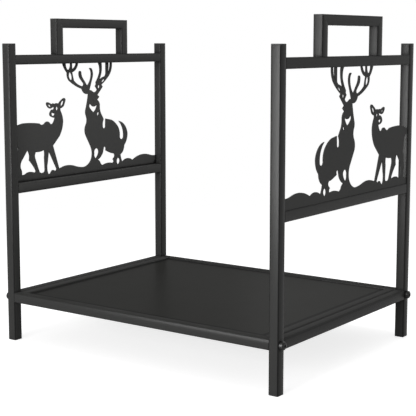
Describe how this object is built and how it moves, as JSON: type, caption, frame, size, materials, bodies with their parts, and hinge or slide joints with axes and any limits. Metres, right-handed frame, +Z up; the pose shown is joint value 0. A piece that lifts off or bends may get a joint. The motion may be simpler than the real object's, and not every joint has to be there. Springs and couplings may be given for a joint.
{
  "type": "log holder",
  "caption": "Firewood rack of square steel tube: side frames with a cut-out stag and doe panel and a carrying handle, and a low recessed tray bolted between them.",
  "frame": {"origin": "centre of the rack at floor level, between the undersides of the four feet", "axes": "+X to the right, across the tray from one side frame to the other; +Y from the front to the back; +Z up"},
  "size_m": [0.5546, 0.418, 0.5425],
  "materials": {
    "powder_coat": "satin black powder coat",
    "plug_plastic": "fine matte",
    "bolt_steel": "black plated steel",
    "insert_steel": "plain zinc"
  },
  "bodies": {
    "root": {"left_front_leg": "powder_coat", "left_rear_leg": "powder_coat", "left_top_rail": "powder_coat", "left_panel_rail": "powder_coat", "left_base_rail": "powder_coat", "left_handle_front_post": "powder_coat", "left_handle_rear_post": "powder_coat", "left_handle_bar": "powder_coat", "left_deer_panel": "powder_coat", "right_front_leg": "powder_coat", "right_rear_leg": "powder_coat", "right_top_rail": "powder_coat", "right_panel_rail": "powder_coat", "right_base_rail": "powder_coat", "right_handle_front_post": "powder_coat", "right_handle_rear_post": "powder_coat", "right_handle_bar": "powder_coat", "right_deer_panel": "powder_coat", "tray_front_rail": "powder_coat", "tray_rear_rail": "powder_coat", "tray_left_rail": "powder_coat", "tray_right_rail": "powder_coat", "tray_sheet": "powder_coat", "left_front_top_plug": "plug_plastic", "left_front_foot_plug": "plug_plastic", "left_rear_top_plug": "plug_plastic", "left_rear_foot_plug": "plug_plastic", "right_front_top_plug": "plug_plastic", "right_front_foot_plug": "plug_plastic", "right_rear_top_plug": "plug_plastic", "right_rear_foot_plug": "plug_plastic", "frame_bolts": "bolt_steel", "rail_inserts": "insert_steel"}
  },
  "joints": []
}
